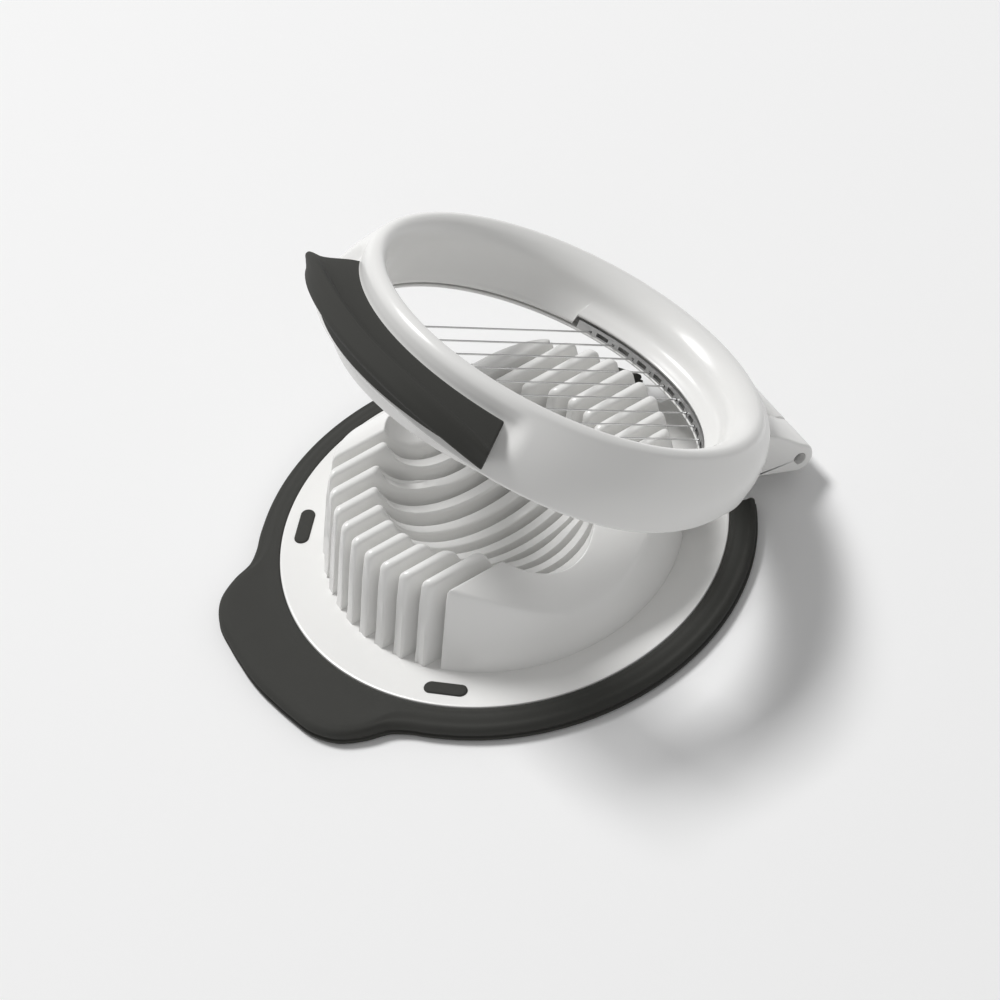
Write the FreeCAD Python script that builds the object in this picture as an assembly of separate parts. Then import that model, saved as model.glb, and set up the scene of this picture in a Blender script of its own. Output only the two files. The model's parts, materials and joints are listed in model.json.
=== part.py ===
import FreeCAD, Part
import math
import os
from FreeCAD import Vector

# Egg slicer: a slatted egg cup on a round base, and a hinged ring strung with ten cutting wires.
# Millimetres. The origin is on the cup's axis, on the surface that the slicer stands on.
# +X runs along the hinge pin, +Y points from the front tab to the hinge, +Z is up.
# The lid is drawn shut, and turned open about the hinge pin just before it is written.

# ---- driving dimensions -------------------------------------------------------------------

LID_REST_OPEN_DEG = 35.8

FLANGE_RADIUS = 50.0
FLANGE_TOP = 5.0
FLANGE_THICK = 2.4

CUP_FOOT_RADIUS = 40.05
CUP_TOP_RADIUS = 37.7
CUP_TOP_CENTRE_Y = 2.8
CUP_TOP = 27.7
CUP_FLAT_HALF = 19.6
CUP_SHOULDER = 20.6

WIRE_COUNT = 10
WIRE_PITCH = 5.2
WIRE_RADIUS = 0.2
WIRE_LEVEL = 7.5
WIRE_REACH = 43.2
WIRE_BEAD_RADIUS = 0.45

SLOT_WIDTH = 2.7
FIN_ROUND = 0.95

BOWL_RADIUS = 24.6
BOWL_DEPTH = 19.0
BOWL_FLAT_RADIUS = 1.0
BOWL_FLAT_SINK = 0.08
TROUGH_HALF_LENGTH = 34.0
TROUGH_RADIUS = 17.5

GRIP_RADIUS = 55.8
GRIP_INNER_RADIUS = 47.6

FOOT_ARC_RADIUS = 45.5
FOOT_HALF_ANGLE_DEG = 4.2
FOOT_WIDTH = 3.4
FOOT_BEARING_DEG = 42.5
FOOT_PROUD = 0.45

HINGE_Y = 63.06
HINGE_Z = 6.63
KNUCKLE_RADIUS = 3.6
BASE_KNUCKLE_HALF = 12.4
LID_KNUCKLE_INNER = 12.7
LID_KNUCKLE_OUTER = 23.4
PIN_RADIUS = 1.5
PIN_RUNNING_GAP = 0.05
PIN_HALF_LENGTH = 21.4
PIN_CHAMFER = 0.3

LID_OPENING_RADIUS = 41.25
LID_FOOT_RADIUS = 52.3
LID_FOOT_CENTRE_Y = 2.4
LID_LOWEST = 5.6
LID_WALL = 2.1
INNER_WALL_LOW = 7.2
RIM_RADIUS = 45.4
RIM_CENTRE_Y = 5.1
RIM_HEIGHT = 22.9
RIM_SLOPE = 2.9
FRONT_SAG_RADIUS = 222.0
REAR_SAG_RADIUS = 150.0
SECTION_COUNT = 24

LIP_LOW = 6.2
LIP_TOP = 6.85
CHANNEL_RADIUS = 44.0
FRAME_HEEL_RADIUS = 45.0
RAIL_TOP = 8.9
RAIL_HALF_ANGLE_DEG = 39.0

GRIP_HALF_ANGLE_DEG = 44.0
DENT_DEPTH = 2.3

FAR = 200.0
X_AXIS = Vector(1, 0, 0)
Y_AXIS = Vector(0, 1, 0)
Z_AXIS = Vector(0, 0, 1)
ORIGIN = Vector(0, 0, 0)


# ---- helpers ------------------------------------------------------------------------------

def polygon_face(points):
    """A flat face inside a closed run of points."""
    return Part.Face(Part.makePolygon(points + [points[0]]))


def box(x_span, y_span, z_span):
    """A box between two limits on each axis."""
    size = [span[1] - span[0] for span in (x_span, y_span, z_span)]
    return Part.makeBox(size[0], size[1], size[2], Vector(x_span[0], y_span[0], z_span[0]))


def mirrored(shape):
    """The same shape on the other side of the YZ plane."""
    return shape.mirror(ORIGIN, X_AXIS)


def revolved(profile):
    """A ring turned about the cup's axis from (radius, height) points."""
    face = polygon_face([Vector(radius, 0, height) for radius, height in profile])
    return outward(face.revolve(ORIGIN, Z_AXIS, 360))


def outward(solid):
    """The solid with its faces pointing outwards."""
    if solid.Volume < 0:
        solid.reverse()
    return solid


def write(name, shape):
    """Save one piece as parts/NAME.step, and say whether it is sound."""
    solid = shape.removeSplitter()
    if len(solid.Solids) == 1:
        solid = solid.Solids[0]
    print(name, "solids", len(solid.Solids), "valid", solid.isValid(), "mm3 %.0f" % solid.Volume)
    solid.exportStep(os.path.join("parts", name + ".step"))


# ---- base ---------------------------------------------------------------------------------

def egg_cup():
    """A cone whose ends fall away in a round shoulder, hollowed for the egg and slotted.

    The cone leans a little towards the hinge, so its rear is steeper than its front.
    """
    foot = Part.makeCircle(CUP_FOOT_RADIUS, Vector(0, 0, FLANGE_TOP))
    top = Part.makeCircle(CUP_TOP_RADIUS, Vector(0, CUP_TOP_CENTRE_Y, CUP_TOP))
    cup = Part.makeLoft([Part.Wire([foot]), Part.Wire([top])], True, True)
    cup = outward(cup).common(shoulder_block())
    cup = cup.cut(egg_bowl()).cut(egg_trough())
    for index in range(WIRE_COUNT):
        cup = cup.cut(slot_cutter(wire_x(index)))
    return cup


def section_bar(edges):
    """A bar along Y with the section that the edges enclose."""
    return Part.Face(Part.Wire(edges)).extrude(Vector(0, 2 * FAR, 0))


def arc(start, middle, end):
    """A round edge through three points."""
    return Part.Arc(start, middle, end).toShape()


def slot_cutter(x):
    """The room for one slot, flared at the top so that the fins on both sides get round shoulders."""
    half = SLOT_WIDTH / 2
    bend = FIN_ROUND * (1 - math.sqrt(0.5))
    spring = CUP_TOP - FIN_ROUND
    clear = CUP_TOP + 1

    def at(reach, z):
        return Vector(x + reach, -FAR, z)

    def flare(side):
        return arc(
            at(side * half, spring),
            at(side * (half + bend), CUP_TOP - bend),
            at(side * (half + FIN_ROUND), CUP_TOP),
        )

    return section_bar([
        Part.makeLine(at(-half, FLANGE_TOP), at(half, FLANGE_TOP)),
        Part.makeLine(at(half, FLANGE_TOP), at(half, spring)),
        flare(1),
        Part.makeLine(at(half + FIN_ROUND, CUP_TOP), at(half + FIN_ROUND, clear)),
        Part.makeLine(at(half + FIN_ROUND, clear), at(-half - FIN_ROUND, clear)),
        Part.makeLine(at(-half - FIN_ROUND, clear), at(-half - FIN_ROUND, CUP_TOP)),
        flare(-1),
        Part.makeLine(at(-half, spring), at(-half, FLANGE_TOP)),
    ])


def shoulder_block():
    """A bar along Y whose section is flat over the fins and round over both ends of the cup."""
    side = CUP_FLAT_HALF + CUP_SHOULDER
    spring = CUP_TOP - CUP_SHOULDER
    bend = CUP_SHOULDER * math.sqrt(0.5)

    def at(x, z):
        return Vector(x, -FAR, z)

    def shoulder(hand):
        return arc(
            at(hand * side, spring),
            at(hand * (CUP_FLAT_HALF + bend), spring + bend),
            at(hand * CUP_FLAT_HALF, CUP_TOP),
        )

    return section_bar([
        Part.makeLine(at(-side, 0), at(-side, spring)),
        shoulder(-1),
        Part.makeLine(at(-CUP_FLAT_HALF, CUP_TOP), at(CUP_FLAT_HALF, CUP_TOP)),
        shoulder(1),
        Part.makeLine(at(side, spring), at(side, 0)),
        Part.makeLine(at(side, 0), at(-side, 0)),
    ])


def half_ellipse(centre, axis, across, along_radius, across_radius):
    """Half an ellipse on the far side of its axis, with the axis as its straight side."""
    if along_radius >= across_radius:
        ellipse = Part.Ellipse(centre + axis * along_radius, centre + across * across_radius, centre)
        start = 0
    else:
        ellipse = Part.Ellipse(centre + across * across_radius, centre + axis * along_radius, centre)
        start = -math.pi / 2
    curve = ellipse.toShape(start, start + math.pi)
    ends = [vertex.Point for vertex in curve.Vertexes]
    return Part.Face(Part.Wire([curve, Part.makeLine(ends[1], ends[0])]))


def egg_bowl():
    """The round middle of the hollow, turned about the cup's axis, with a small flat at its bottom."""
    centre = Vector(0, 0, CUP_TOP)
    bottom = Vector(0, 0, CUP_TOP - BOWL_DEPTH - BOWL_FLAT_SINK)
    bowl = half_ellipse(centre, Z_AXIS, X_AXIS, BOWL_DEPTH, BOWL_RADIUS).revolve(centre, Z_AXIS, 360)
    return bowl.fuse(Part.makeCylinder(BOWL_FLAT_RADIUS, BOWL_DEPTH, bottom))


def egg_trough():
    """The long part of the hollow: an ellipse turned about a line along X."""
    centre = Vector(0, 0, CUP_TOP)
    half = half_ellipse(centre, X_AXIS, Z_AXIS, TROUGH_HALF_LENGTH, TROUGH_RADIUS)
    return half.revolve(centre, X_AXIS, 360)


def wire_x(index):
    """Where a wire, and the slot it drops into, lies along the hinge."""
    return (index - (WIRE_COUNT - 1) / 2) * WIRE_PITCH


def hinge_bar(points, x_from, x_to):
    """A bar along X whose section in Y and Z runs through the points and round the pin."""
    web = polygon_face([Vector(x_from, y, z) for y, z in points]).extrude(Vector(x_to - x_from, 0, 0))
    barrel = Part.makeCylinder(KNUCKLE_RADIUS, x_to - x_from, Vector(x_from, HINGE_Y, HINGE_Z), X_AXIS)
    return outward(web).fuse(barrel)


def pin_bore(radius):
    """The room for the hinge pin, right across the slicer."""
    return Part.makeCylinder(radius, 2 * FAR, Vector(-FAR, HINGE_Y, HINGE_Z), X_AXIS)


def base_tongue():
    """The middle knuckle and the web that carries it."""
    clear = 1.2
    points = [
        (46.0, FLANGE_TOP - FLANGE_THICK),
        (47.5, clear),
        (HINGE_Y, HINGE_Z - KNUCKLE_RADIUS),
        (HINGE_Y + KNUCKLE_RADIUS, HINGE_Z),
        (HINGE_Y, HINGE_Z + KNUCKLE_RADIUS),
        (HINGE_Y - 2.6, HINGE_Z + 2.4),
        (56.5, FLANGE_TOP),
        (46.0, FLANGE_TOP),
    ]
    return hinge_bar(points, -BASE_KNUCKLE_HALF, BASE_KNUCKLE_HALF)


def foot_block(bearing, width, low, high):
    """One oval, bent along the flange's edge, between two heights."""
    half = math.radians(FOOT_HALF_ANGLE_DEG)
    inner = FOOT_ARC_RADIUS - width / 2
    outer = FOOT_ARC_RADIUS + width / 2

    def at(radius, angle):
        return Vector(radius * math.sin(bearing + angle), -radius * math.cos(bearing + angle), low)

    cap = width / 2 / FOOT_ARC_RADIUS
    edges = [
        Part.Arc(at(inner, -half), at(inner, 0), at(inner, half)).toShape(),
        Part.Arc(at(inner, half), at(FOOT_ARC_RADIUS, half + cap), at(outer, half)).toShape(),
        Part.Arc(at(outer, half), at(outer, 0), at(outer, -half)).toShape(),
        Part.Arc(at(outer, -half), at(FOOT_ARC_RADIUS, -half - cap), at(inner, -half)).toShape(),
    ]
    return Part.Face(Part.Wire(edges)).extrude(Vector(0, 0, high - low))


def foot_bearings():
    """The bearing of each foot from the front, with its name."""
    near = math.radians(FOOT_BEARING_DEG)
    return {"foot_front_left": -near, "foot_front_right": near}


def base_body():
    """Flange, egg cup and middle knuckle, in one moulding."""
    flange = Part.makeCylinder(FLANGE_RADIUS, FLANGE_THICK, Vector(0, 0, FLANGE_TOP - FLANGE_THICK))
    body = flange.fuse(base_tongue()).removeSplitter()
    for bearing in foot_bearings().values():
        body = body.cut(foot_block(bearing, FOOT_WIDTH, 0, FAR))
    body = body.cut(pin_bore(PIN_RADIUS))
    return body.fuse(egg_cup()).removeSplitter()


def base_grip():
    """The soft ring under and round the flange, with the tab at the front."""
    ring = revolved([
        (GRIP_INNER_RADIUS, 0),
        (GRIP_RADIUS - 1.4, 0),
        (GRIP_RADIUS, 1.0),
        (GRIP_RADIUS, 2.4),
        (GRIP_RADIUS - 0.5, 3.5),
        (GRIP_RADIUS - 1.6, 4.3),
        (GRIP_RADIUS - 3.2, 4.8),
        (FLANGE_RADIUS, FLANGE_TOP),
        (FLANGE_RADIUS, FLANGE_TOP - FLANGE_THICK),
        (GRIP_INNER_RADIUS, FLANGE_TOP - FLANGE_THICK),
    ])
    core = Part.makeCylinder(GRIP_RADIUS - 3.2, FAR)
    tab = front_tab().cut(core)
    half_gap = LID_KNUCKLE_OUTER + 0.6
    rear_gap = box((-half_gap, half_gap), (38, FAR), (-FAR, FAR))
    return ring.fuse(tab).cut(rear_gap)


def tab_outline(inset, height):
    """The tab's outline at one height, pulled in from its widest by the inset."""
    squeeze = 1 - inset / 30.0
    right = [(34.0, -44.2), (30.0, -48.6), (28.4, -54.2), (24.6, -60.0), (19.5, -62.3)]
    rim = [Vector(x * squeeze, y + inset, height) for x, y in right]
    rim.append(Vector(0, -64.9 + inset, height))
    rim += [Vector(-point.x, point.y, height) for point in reversed(rim[:-1])]
    curve = Part.BSplineCurve()
    curve.interpolate(rim)
    return Part.Wire([curve.toShape(), Part.makeLine(rim[-1], rim[0])])


def front_tab():
    """The tab that a hand holds down: swept corners, a gently bowed front and soft top edges."""
    levels = [(0.8, 0), (0.2, 0.5), (0, 1.2), (0, 2.6), (0.35, 3.6), (1.1, 4.3), (2.2, 4.6)]
    return outward(Part.makeLoft([tab_outline(inset, height) for inset, height in levels], True, True))


def hinge_pin():
    """The steel pin, a little short of the knuckles at both ends."""
    end = Vector(-PIN_HALF_LENGTH, HINGE_Y, HINGE_Z)
    pin = Part.makeCylinder(PIN_RADIUS, 2 * PIN_HALF_LENGTH, end, X_AXIS)
    rims = [edge for edge in pin.Edges if edge.Curve.TypeId == "Part::GeomCircle"]
    return pin.makeChamfer(PIN_CHAMFER, rims)


# ---- lid ----------------------------------------------------------------------------------

def blend(start, stop, share):
    """A value part way between two."""
    return start + (stop - start) * share


def ring_point(bearing, centre_y, radius, height):
    """A point on a circle about (0, centre_y), at a bearing from the front."""
    return Vector(radius * math.sin(bearing), centre_y - radius * math.cos(bearing), height)


def lower_edge_height(y):
    """The lid's lower edge: lowest at the sides, lifting to the front and to the rear."""
    sag_radius = FRONT_SAG_RADIUS if y < 0 else REAR_SAG_RADIUS
    return LID_LOWEST + sag_radius - math.sqrt(sag_radius ** 2 - y ** 2)


def rim_height(bearing):
    """The lid's top, which slopes down a little from front to rear."""
    return RIM_HEIGHT + RIM_SLOPE * math.cos(bearing)


def ease(start, stop, value):
    """0 before the start, 1 after the stop, and smooth between them."""
    share = min(max((value - start) / (stop - start), 0), 1)
    return share * share * (3 - 2 * share)


def dent(bearing, share):
    """How far the lid's outside is pressed in above the grip."""
    sideways = 1 - ease(41, 50, math.degrees(abs(bearing)))
    upwards = ease(0.3, 0.6, share) * (1 - ease(0.75, 1.0, share))
    return DENT_DEPTH * sideways * upwards


def outer_wall(bearing, share, inset):
    """A point on the lid's outside, from its lower edge (0) to just below its rim (1)."""
    bulge = 1.2
    radius = blend(LID_FOOT_RADIUS, RIM_RADIUS + 2.4, share) + bulge * math.sin(math.pi * share) - inset
    radius -= dent(bearing, share)
    centre_y = blend(LID_FOOT_CENTRE_Y, RIM_CENTRE_Y, share)
    flat = ring_point(bearing, centre_y, radius, 0)
    return Vector(flat.x, flat.y, blend(lower_edge_height(flat.y), rim_height(bearing) - 2.0, share))


def shell_skin(bearing):
    """The lid's outside, round rim and inside at one bearing, as one run of points."""
    top = rim_height(bearing)
    points = [outer_wall(bearing, share, 0) for share in (0, 0.25, 0.5, 0.75, 1.0)]
    points += [
        ring_point(bearing, RIM_CENTRE_Y, RIM_RADIUS + 1.6, top - 0.7),
        ring_point(bearing, RIM_CENTRE_Y, RIM_RADIUS, top),
        ring_point(bearing, 4.6, RIM_RADIUS - 1.9, top - 0.7),
        ring_point(bearing, 3.8, RIM_RADIUS - 3.4, top - 2.6),
        ring_point(bearing, LID_FOOT_CENTRE_Y, 41.7, blend(INNER_WALL_LOW, top - 2.0, 0.5)),
        ring_point(bearing, 0, LID_OPENING_RADIUS, INNER_WALL_LOW),
    ]
    return points


def curve_through(points):
    """One smooth edge through the points."""
    curve = Part.BSplineCurve()
    curve.interpolate(points)
    return curve.toShape()


def lines_through(points):
    """Straight edges from point to point."""
    return [Part.makeLine(start, stop) for start, stop in zip(points, points[1:])]


def shell_section(bearing):
    """One cut through the lid ring: outside, round rim, inside, and the hollow in its underside."""
    roof_drop = 4.2
    skin = shell_skin(bearing)
    roof = rim_height(bearing) - roof_drop
    hollow = [
        skin[-1],
        ring_point(bearing, 0, LID_OPENING_RADIUS + LID_WALL, INNER_WALL_LOW),
        ring_point(bearing, 3.2, LID_OPENING_RADIUS + LID_WALL + 1.0, roof),
        ring_point(bearing, 4.4, RIM_RADIUS + 1.0 - dent(bearing, 0.75), roof),
        outer_wall(bearing, 0.35, LID_WALL),
        outer_wall(bearing, 0, LID_WALL),
        skin[0],
    ]
    return Part.Wire([curve_through(skin)] + lines_through(hollow))


def envelope_section(bearing):
    """The lid ring as if it were solid."""
    skin = shell_skin(bearing)
    return Part.Wire([curve_through(skin), Part.makeLine(skin[-1], skin[0])])


def around(section):
    """A ring through the same section drawn at every bearing: one half, and its mirror image."""
    steps = SECTION_COUNT // 2
    wires = [section(math.pi * index / steps) for index in range(steps + 1)]
    half = outward(Part.makeLoft(wires, True, False))
    return half.fuse(outward(mirrored(half)))


def rail_recess(bearing):
    """The room that one notched rail takes out of the lid's inner wall."""
    return arc_strip(bearing, (LID_OPENING_RADIUS - 4, LID_OPENING_RADIUS + LID_WALL + 1.6),
                     (INNER_WALL_LOW - 1, RAIL_TOP + 0.5), RAIL_HALF_ANGLE_DEG + 1.5)


def arc_strip(bearing, radii, heights, half_angle_deg):
    """A strip bent about the cup's axis, centred on a bearing from the front."""
    low, high = heights
    ring = Part.makeCylinder(radii[1], high - low, Vector(0, 0, low))
    ring = ring.cut(Part.makeCylinder(radii[0], high - low, Vector(0, 0, low)))
    half = math.radians(half_angle_deg)
    wedge = polygon_face([
        Vector(0, 0, low),
        ring_point(bearing - half, 0, FAR, low),
        ring_point(bearing + half, 0, FAR, low),
    ])
    return ring.common(wedge.extrude(Vector(0, 0, high - low)))


def lid_shell():
    """The glossy ring, with its two rail recesses."""
    shell = around(shell_section)
    for bearing in (0, math.pi):
        shell = shell.cut(rail_recess(bearing))
    return shell


def rearness(bearing):
    """0 at the front and sides, rising smoothly to 1 at the hinge."""
    return ease(0, 0.6, -math.cos(bearing))


def frame_section(bearing):
    """One cut through the ring that holds the wires: a lip, a channel floor and a body.

    The body hides inside the shell at the front, and shows below it towards the hinge.
    """
    gap = 0.3
    rear = rearness(bearing)
    tuck = LID_WALL + gap
    crown = outer_wall(bearing, 0.15, tuck + 0.15)
    edge = outer_wall(bearing, 0, tuck)
    step = outer_wall(bearing, 0, blend(tuck + 0.05, 0.4, rear))
    foot = outer_wall(bearing, 0, blend(tuck + 0.45, 0.7, rear))
    under = lower_edge_height(edge.y)
    top = under + blend(2.6, -0.4, rear)
    points = [
        ring_point(bearing, 0, LID_OPENING_RADIUS, LIP_LOW),
        ring_point(bearing, 0, LID_OPENING_RADIUS, LIP_TOP),
        ring_point(bearing, 0, CHANNEL_RADIUS, LIP_TOP),
        ring_point(bearing, blend(0.8, 2.0, rear), CHANNEL_RADIUS + blend(1.9, 2.5, rear), top),
        Vector(crown.x, crown.y, top),
        Vector(edge.x, edge.y, under + blend(0.1, -0.5, rear)),
        Vector(step.x, step.y, under - blend(0.15, 0.65, rear)),
        Vector(foot.x, foot.y, blend(under - gap, LIP_LOW, rear)),
        ring_point(bearing, 0, FRAME_HEEL_RADIUS, LIP_LOW),
    ]
    return Part.Wire(lines_through(points + [points[0]]))


def lid_arm():
    """One hinge arm, from the wire frame's rear to its knuckle."""
    points = [
        (48.0, 7.2),
        (49.9, 6.0),
        (50.6, 1.3),
        (53.2, 0.9),
        (HINGE_Y + 0.8, HINGE_Z - KNUCKLE_RADIUS),
        (HINGE_Y + KNUCKLE_RADIUS, HINGE_Z),
        (HINGE_Y + 0.6, HINGE_Z + KNUCKLE_RADIUS),
        (55.0, 12.1),
        (48.0, 12.3),
    ]
    return hinge_bar(points, LID_KNUCKLE_INNER, LID_KNUCKLE_OUTER)


def wire_frame():
    """The ring that holds the wires, with both hinge arms."""
    arm = lid_arm()
    frame = around(frame_section)
    inside = Part.makeCylinder(CHANNEL_RADIUS + 2.4, FAR)
    for piece in (arm, mirrored(arm)):
        frame = frame.fuse(piece.cut(inside))
    return frame.cut(pin_bore(PIN_RADIUS + PIN_RUNNING_GAP))


def grip_section(bearing):
    """One cut through the lid's grip: dished top, ridge, front face and undercut."""
    spread = abs(bearing) / math.radians(GRIP_HALF_ANGLE_DEG)
    swell = spread ** 2
    tip = spread ** 4
    join = (blend(41.4, 43.6, swell), blend(20.6, 19.5, swell))
    ridge = (blend(50.0, 54.9, swell), blend(20.6, 16.4, tip))
    nose = (blend(53.0, 54.2, swell), blend(16.2, 11.6, swell))
    heel = (blend(50.5, 49.2, swell), blend(12.0, 10.6, swell))
    dish = (blend(join[0], ridge[0], 0.5), blend(join[1], ridge[1], 0.5) - 1.1)
    back_low = (heel[0] - 5.0, heel[1] + 1.5)
    back_high = (join[0] - 2.5, join[1] - 1.5)

    def at(place):
        return ring_point(bearing, 0, place[0], place[1])

    top = curve_through([at(join), at(dish), at(ridge)])
    rest = [at(place) for place in (ridge, nose, heel, back_low, back_high, join)]
    return Part.Wire([top] + lines_through(rest))


def lid_grip():
    """The soft grip, which sits on the outside of the shell."""
    half = math.radians(GRIP_HALF_ANGLE_DEG)
    steps = 8
    wires = [grip_section(blend(-half, half, index / steps)) for index in range(steps + 1)]
    return outward(Part.makeLoft(wires, True, False)).cut(around(envelope_section))


def wire_rail(bearing):
    """A steel strip on the lip, with a hole round each wire and a window between neighbours."""
    strip = arc_strip(bearing, (LID_OPENING_RADIUS + 0.1, LID_OPENING_RADIUS + 0.7),
                      (LIP_TOP, RAIL_TOP), RAIL_HALF_ANGLE_DEG)
    hole_half = WIRE_RADIUS + 0.1
    window_half = 1.3
    hole_heights = (WIRE_LEVEL - hole_half, WIRE_LEVEL + hole_half)
    window_heights = (LIP_TOP + 0.4, LIP_TOP + 1.3)
    for index in range(WIRE_COUNT):
        x = wire_x(index)
        strip = strip.cut(box((x - hole_half, x + hole_half), (-FAR, FAR), hole_heights))
        if index:
            middle = x - WIRE_PITCH / 2
            span = (middle - window_half, middle + window_half)
            strip = strip.cut(box(span, (-FAR, FAR), window_heights))
    return strip


def cutting_wire(index):
    """A wire with a bead at each end, behind the rails."""
    x = wire_x(index)
    reach = math.sqrt(WIRE_REACH ** 2 - x ** 2)
    wire = Part.makeCylinder(WIRE_RADIUS, 2 * reach, Vector(x, -reach, WIRE_LEVEL), Y_AXIS)
    for end in (-reach, reach):
        wire = wire.fuse(Part.makeSphere(WIRE_BEAD_RADIUS, Vector(x, end, WIRE_LEVEL)))
    return wire


def opened(shape):
    """A piece of the lid, turned about the hinge pin to where the lid rests."""
    turned = shape.copy()
    turned.rotate(Vector(0, HINGE_Y, HINGE_Z), X_AXIS, -LID_REST_OPEN_DEG)
    return turned


# ---- pieces -------------------------------------------------------------------------------

def base_pieces():
    """Every piece that stands still, by name."""
    pieces = {"base_body": base_body(), "base_grip": base_grip(), "hinge_pin": hinge_pin()}
    for name, bearing in foot_bearings().items():
        pieces[name] = foot_block(bearing, FOOT_WIDTH, 0, FLANGE_TOP + FOOT_PROUD)
    return pieces


def lid_pieces():
    """Every piece that turns with the lid, by name, with the lid shut."""
    pieces = {"lid_shell": lid_shell(), "wire_frame": wire_frame(), "lid_grip": lid_grip()}
    pieces["wire_rail_front"] = wire_rail(0)
    pieces["wire_rail_rear"] = wire_rail(math.pi)
    for index in range(WIRE_COUNT):
        pieces["wire_%02d" % (index + 1)] = cutting_wire(index)
    return pieces


os.makedirs("parts", exist_ok=True)
for name, shape in base_pieces().items():
    write(name, shape)
for name, shape in lid_pieces().items():
    write(name, opened(shape))
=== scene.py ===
import json
import math

import bmesh
import bpy
import numpy as np
from mathutils import Matrix


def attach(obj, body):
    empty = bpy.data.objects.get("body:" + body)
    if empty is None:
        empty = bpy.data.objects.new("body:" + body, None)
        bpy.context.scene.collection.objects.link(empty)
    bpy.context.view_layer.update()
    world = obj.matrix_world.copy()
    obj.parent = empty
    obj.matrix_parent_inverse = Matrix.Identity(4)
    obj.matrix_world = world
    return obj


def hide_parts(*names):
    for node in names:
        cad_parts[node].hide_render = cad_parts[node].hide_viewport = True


# The looks of a hinged egg slicer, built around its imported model. Sizes below are in
# millimetres in the frame's own axes: +X along the hinge pin, +Y from the front tab to the
# hinge, +Z up. Pieces of the lid are worked out with the lid shut, then turned open to rest.

bl_info = {
    "name": "Egg Slicer",
    "version": (1, 0, 0),
    "blender": (4, 5, 0),
    "location": "View3D > Sidebar > Egg Slicer",
    "description": "Builds the visible pieces and finishes of a hinged egg slicer",
    "category": "Add Mesh",
}

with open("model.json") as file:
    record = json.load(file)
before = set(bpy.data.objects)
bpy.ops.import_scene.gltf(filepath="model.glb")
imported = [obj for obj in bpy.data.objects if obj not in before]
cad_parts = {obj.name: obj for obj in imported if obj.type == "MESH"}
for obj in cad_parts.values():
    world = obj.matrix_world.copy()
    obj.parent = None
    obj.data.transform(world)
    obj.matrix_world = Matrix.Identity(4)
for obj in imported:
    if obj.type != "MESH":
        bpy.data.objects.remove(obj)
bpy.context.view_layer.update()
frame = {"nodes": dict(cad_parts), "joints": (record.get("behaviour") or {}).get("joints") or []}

MM = 0.001

# ---- what the frame fixes -----------------------------------------------------------------

HINGE = frame["joints"][0]
HINGE_Y = HINGE["pos_m"][1] / MM
HINGE_Z = HINGE["pos_m"][2] / MM
REST_OPEN = math.radians(-HINGE["range_deg"][0])

# ---- sizes that the pieces share ----------------------------------------------------------

FLANGE_RADIUS = 50.0
FLANGE_TOP = 5.0
FLANGE_UNDER = 2.6

CUP_FOOT_RADIUS = 40.05
CUP_TOP_RADIUS = 37.7
CUP_TOP_CENTRE_Y = 2.8
CUP_TOP = 27.7
CUP_SUNK = 3.8
CUP_FLAT_HALF = 19.6
CUP_SHOULDER = 20.6

WIRE_COUNT = 10
WIRE_PITCH = 5.2
SLOT_WIDTH = 2.7

BOWL_RADIUS = 24.6
BOWL_DEPTH = 19.0
TROUGH_HALF_LENGTH = 34.0
TROUGH_RADIUS = 17.5

BASE_RIM_RADIUS = 55.8
BASE_RIM_INNER = 47.6
REAR_GAP_HALF = 24.0

FOOT_ARC_RADIUS = 45.5
FOOT_HALF_ANGLE = math.radians(4.2)
FOOT_HALF_WIDTH = 1.65
FOOT_BEARING = math.radians(42.5)
FOOT_TOP = 5.45

KNUCKLE_RADIUS = 3.6
PIN_HOLE_RADIUS = 1.55
RIM_HALF_TURN = math.radians(153)
BASE_KNUCKLE_HALF = 12.4
LID_KNUCKLE_INNER = 12.7
LID_KNUCKLE_OUTER = 23.4

LID_OPENING_RADIUS = 41.25
LID_FOOT_RADIUS = 52.3
LID_FOOT_CENTRE_Y = 2.4
LID_LOWEST = 5.6
LID_WALL = 2.1
INNER_WALL_LOW = 7.2
RIM_RADIUS = 45.4
RIM_CENTRE_Y = 5.1
RIM_HEIGHT = 22.9
RIM_SLOPE = 2.9
SHOULDER_OUT = 2.4
SHOULDER_DROP = 2.0
WALL_SWELL = 1.2
FRONT_SAG_RADIUS = 222.0
REAR_SAG_RADIUS = 150.0

LIP_LOW = 6.2
LIP_TOP = 6.85
CHANNEL_RADIUS = 44.0
FRAME_HEEL_RADIUS = 45.0
RAIL_RECESS_TOP = 9.4
RAIL_RECESS_HALF = math.radians(40.5)

LID_GRIP_HALF = math.radians(44.0)
DENT_DEPTH = 2.3
DENT_EDGE_DEG = (42.0, 47.5)
HOLLOW_DROP = 4.2

# ---- where the camera and the lamps stand -------------------------------------------------

CAMERA_TARGET = (-9.826, 4.925, 5.0)
CAMERA_AZIMUTH_DEG = 68.04
CAMERA_ELEVATION_DEG = 46.43
CAMERA_ROLL_DEG = -12.546
SENSOR_WIDTH = 36
CAMERA_REACH = 50
LAMP_TARGET = (0, 0, 20)
FLOOR_HALF = 6.0
FILL_SHARE = 0.04



# ---- curves and surfaces ------------------------------------------------------------------

def blend(start, stop, share):
    """A value part way between two."""
    return start + (stop - start) * share


def soft_step(low, high, value):
    """0 below low, 1 above high, and 3t^2 - 2t^3 of the share t between them."""
    share = np.clip((value - low) / (high - low), 0, 1)
    return share * share * (3 - 2 * share)


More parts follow.
